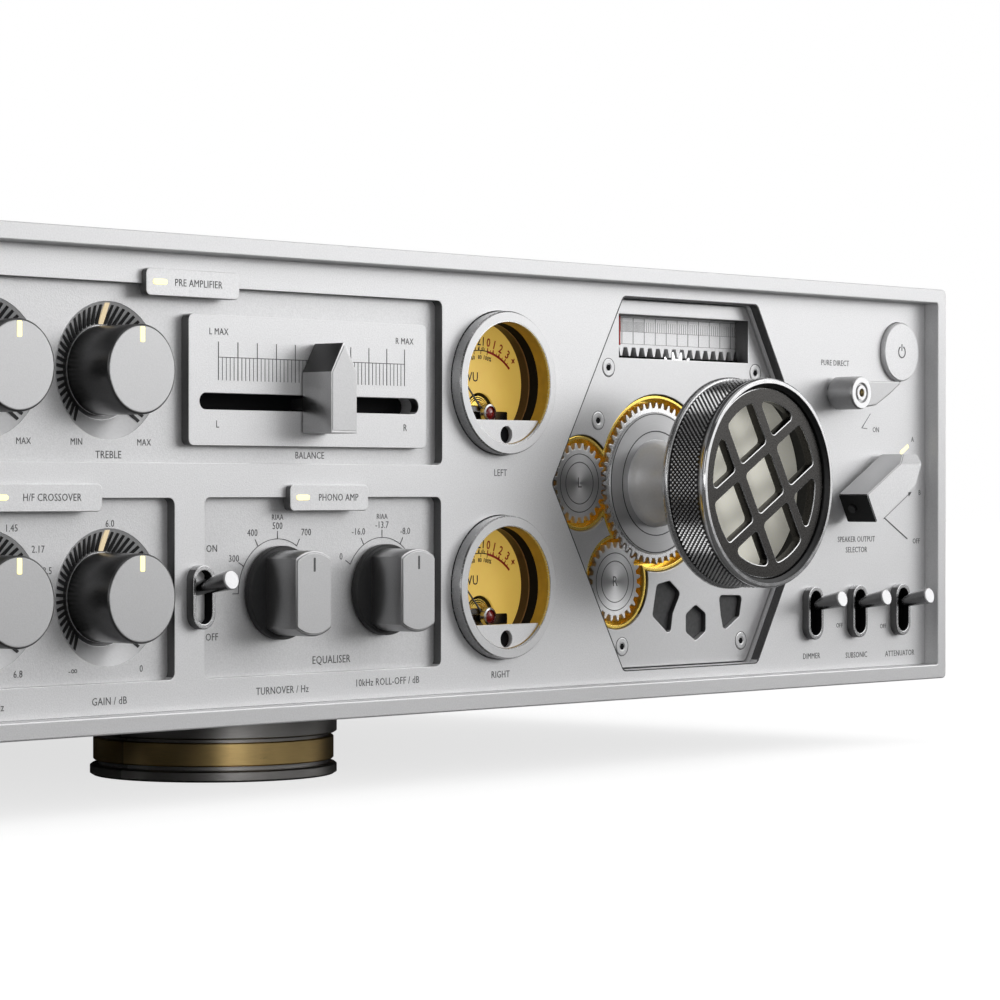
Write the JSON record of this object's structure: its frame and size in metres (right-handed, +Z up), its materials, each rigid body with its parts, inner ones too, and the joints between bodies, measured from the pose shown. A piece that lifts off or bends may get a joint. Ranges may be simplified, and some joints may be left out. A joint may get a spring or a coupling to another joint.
{
  "type": "power amplifier",
  "caption": "Integrated stereo power amplifier with geared volume control, level meters, tone knobs, toggle switches and round feet.",
  "frame": {"origin": "on the surface it stands on, under the middle of its bounding box", "axes": "+X to the right seen from the front, +Y from the front to the back, +Z up"},
  "size_m": [0.43, 0.41, 0.128],
  "materials": {
    "case_aluminium": "fine bead-blasted, clear anodised",
    "panel_aluminium": "fine bead-blasted with a faint horizontal grain",
    "plate_aluminium": "satin, a little darker than the panel",
    "brass": "polished",
    "gear_metal": "radially brushed silver faces over brass teeth",
    "polished_metal": "polished",
    "gunmetal": "dark anodised satin",
    "foot_steel": "dark, turned",
    "chassis_steel": "matt",
    "meter_dial": "amber, lit from behind",
    "meter_black": "matt",
    "black_plastic": "moulded",
    "circuit_board": "lacquered board with parts",
    "marking": "printed and filled lettering",
    "lamp": "small lit windows",
    "lens": "clear",
    "red_trim": "gloss"
  },
  "bodies": {
    "case": {"front_frame": "case_aluminium", "front_panel": "panel_aluminium", "hex_plate": "plate_aluminium", "gear_backplate": "brass", "balance_plate": "panel_aluminium", "tab_pre_amplifier": "panel_aluminium", "tab_crossover": "panel_aluminium", "tab_phono": "panel_aluminium", "chassis_base": "chassis_steel", "top_cover": "case_aluminium", "side_left": "case_aluminium", "side_right": "case_aluminium", "rear_panel": "case_aluminium", "foot_front": "foot_steel", "foot_front_ring": "brass", "foot_rear_left": "foot_steel", "foot_rear_left_ring": "brass", "foot_rear_right": "foot_steel", "foot_rear_right_ring": "brass", "crossover_bezel": "polished_metal", "phono_bezel": "polished_metal", "cartridge_bezel": "polished_metal", "dimmer_bezel": "polished_metal", "subsonic_bezel": "polished_metal", "attenuator_bezel": "polished_metal", "meter_left_bezel": "polished_metal", "meter_left_housing": "meter_dial", "meter_right_bezel": "polished_metal", "meter_right_housing": "meter_dial", "transformer": "chassis_steel", "amplifier_board": "circuit_board", "mains_inlet": "black_plastic", "terminal_block": "black_plastic"},
    "volume_knob": {"volume_rim": "gunmetal", "volume_spider": "gunmetal", "volume_shaft": "polished_metal", "drive_gear": "gear_metal"},
    "gear_left": {"gear_left": "gear_metal"},
    "gear_right": {"gear_right": "gear_metal"},
    "rack_pinion": {"rack_pinion": "gear_metal"},
    "rack_slide": {"rack_slide": "gear_metal"},
    "bass_knob": {"bass_knob": "gunmetal"},
    "treble_knob": {"treble_knob": "gunmetal"},
    "frequency_knob": {"frequency_knob": "gunmetal"},
    "gain_knob": {"gain_knob": "gunmetal"},
    "input_selector": {"input_selector": "gunmetal"},
    "turnover_knob": {"turnover_knob": "gunmetal"},
    "rolloff_knob": {"rolloff_knob": "gunmetal"},
    "balance_slider": {"balance_slider": "gunmetal"},
    "crossover_lever": {"crossover_lever": "polished_metal"},
    "phono_lever": {"phono_lever": "polished_metal"},
    "cartridge_lever": {"cartridge_lever": "polished_metal"},
    "dimmer_lever": {"dimmer_lever": "polished_metal"},
    "subsonic_lever": {"subsonic_lever": "polished_metal"},
    "attenuator_lever": {"attenuator_lever": "polished_metal"},
    "power_button": {"power_button": "panel_aluminium"},
    "pure_direct_lever": {"pure_direct_lever": "panel_aluminium"},
    "speaker_selector": {"speaker_selector": "panel_aluminium"},
    "meter_left_needle": {"meter_left_needle": "meter_black"},
    "meter_right_needle": {"meter_right_needle": "meter_black"}
  },
  "joints": [
    {"name": "volume_turn", "type": "hinge", "parent": "case", "child": "volume_knob", "pos_m": [0.097, -0.1762, 0.073], "axis": [0, 1, 0], "range_deg": [0, 280]},
    {"name": "gear_left_turn", "type": "hinge", "parent": "case", "child": "gear_left", "pos_m": [0.067, -0.1672, 0.073], "axis": [0, 1, 0], "range_deg": [-600, 0]},
    {"name": "gear_right_turn", "type": "hinge", "parent": "case", "child": "gear_right", "pos_m": [0.08088, -0.1672, 0.0477], "axis": [0, 1, 0], "range_deg": [-600, 0]},
    {"name": "rack_pinion_turn", "type": "hinge", "parent": "case", "child": "rack_pinion", "pos_m": [0.111, -0.1622, 0.0986], "axis": [0, 1, 0], "range_deg": [-212, 0]},
    {"name": "rack_travel", "type": "slide", "parent": "case", "child": "rack_slide", "axis": [-1, 0, 0], "range_m": [0, 0.031]},
    {"name": "bass_knob_turn", "type": "hinge", "parent": "case", "child": "bass_knob", "pos_m": [-0.1275, -0.1762, 0.0975], "axis": [0, 1, 0], "range_deg": [-140, 140]},
    {"name": "treble_knob_turn", "type": "hinge", "parent": "case", "child": "treble_knob", "pos_m": [-0.093, -0.1762, 0.0975], "axis": [0, 1, 0], "range_deg": [-140, 140]},
    {"name": "frequency_knob_turn", "type": "hinge", "parent": "case", "child": "frequency_knob", "pos_m": [-0.1275, -0.1762, 0.0476], "axis": [0, 1, 0], "range_deg": [-140, 140]},
    {"name": "gain_knob_turn", "type": "hinge", "parent": "case", "child": "gain_knob", "pos_m": [-0.093, -0.1762, 0.0476], "axis": [0, 1, 0], "range_deg": [-140, 140]},
    {"name": "input_selector_turn", "type": "hinge", "parent": "case", "child": "input_selector", "pos_m": [-0.183, -0.1762, 0.0975], "axis": [0, 1, 0], "range_deg": [-90, 90]},
    {"name": "turnover_knob_turn", "type": "hinge", "parent": "case", "child": "turnover_knob", "pos_m": [-0.0415, -0.1762, 0.0476], "axis": [0, 1, 0], "range_deg": [-90, 30]},
    {"name": "rolloff_knob_turn", "type": "hinge", "parent": "case", "child": "rolloff_knob", "pos_m": [-0.007, -0.1762, 0.0476], "axis": [0, 1, 0], "range_deg": [-60, 60]},
    {"name": "balance_travel", "type": "slide", "parent": "case", "child": "balance_slider", "axis": [1, 0, 0], "range_m": [-0.03, 0.03]},
    {"name": "crossover_flip", "type": "hinge", "parent": "case", "child": "crossover_lever", "pos_m": [-0.1525, -0.1618, 0.0476], "axis": [1, 0, 0], "range_deg": [0, 22]},
    {"name": "phono_flip", "type": "hinge", "parent": "case", "child": "phono_lever", "pos_m": [-0.0687, -0.1618, 0.0472], "axis": [1, 0, 0], "range_deg": [0, 22]},
    {"name": "cartridge_flip", "type": "hinge", "parent": "case", "child": "cartridge_lever", "pos_m": [-0.183, -0.1618, 0.0476], "axis": [1, 0, 0], "range_deg": [0, 22]},
    {"name": "dimmer_flip", "type": "hinge", "parent": "case", "child": "dimmer_lever", "pos_m": [0.1573, -0.1618, 0.0378], "axis": [1, 0, 0], "range_deg": [0, 22]},
    {"name": "subsonic_flip", "type": "hinge", "parent": "case", "child": "subsonic_lever", "pos_m": [0.1775, -0.1618, 0.0378], "axis": [1, 0, 0], "range_deg": [0, 22]},
    {"name": "attenuator_flip", "type": "hinge", "parent": "case", "child": "attenuator_lever", "pos_m": [0.1977, -0.1618, 0.0378], "axis": [1, 0, 0], "range_deg": [0, 22]},
    {"name": "power_press", "type": "slide", "parent": "case", "child": "power_button", "axis": [0, 1, 0], "range_m": [0, 0.0012], "stiffness_N_per_m": 400, "springref_m": -0.0008},
    {"name": "pure_direct_turn", "type": "hinge", "parent": "case", "child": "pure_direct_lever", "pos_m": [0.168, -0.1762, 0.0978], "axis": [0, 1, 0], "range_deg": [0, 60]},
    {"name": "speaker_select", "type": "hinge", "parent": "case", "child": "speaker_selector", "pos_m": [0.179, -0.1762, 0.0703], "axis": [0, 1, 0], "range_deg": [0, 60]},
    {"name": "left_level", "type": "hinge", "parent": "case", "child": "meter_left_needle", "pos_m": [0.0321, -0.1666, 0.0898], "axis": [0, 1, 0], "range_deg": [0, 86], "stiffness_Nm_per_rad": 0.00002, "springref_deg": -5.73},
    {"name": "right_level", "type": "hinge", "parent": "case", "child": "meter_right_needle", "pos_m": [0.0321, -0.1666, 0.0397], "axis": [0, 1, 0], "range_deg": [0, 86], "stiffness_Nm_per_rad": 0.00002, "springref_deg": -5.73}
  ],
  "couplings": [
    {"joint": "gear_left_turn", "follows": "volume_turn", "ratio": -2.125},
    {"joint": "gear_right_turn", "follows": "volume_turn", "ratio": -2.125},
    {"joint": "rack_pinion_turn", "follows": "volume_turn", "ratio": -0.75},
    {"joint": "rack_travel", "follows": "volume_turn", "m_per_rad": 0.0063}
  ]
}
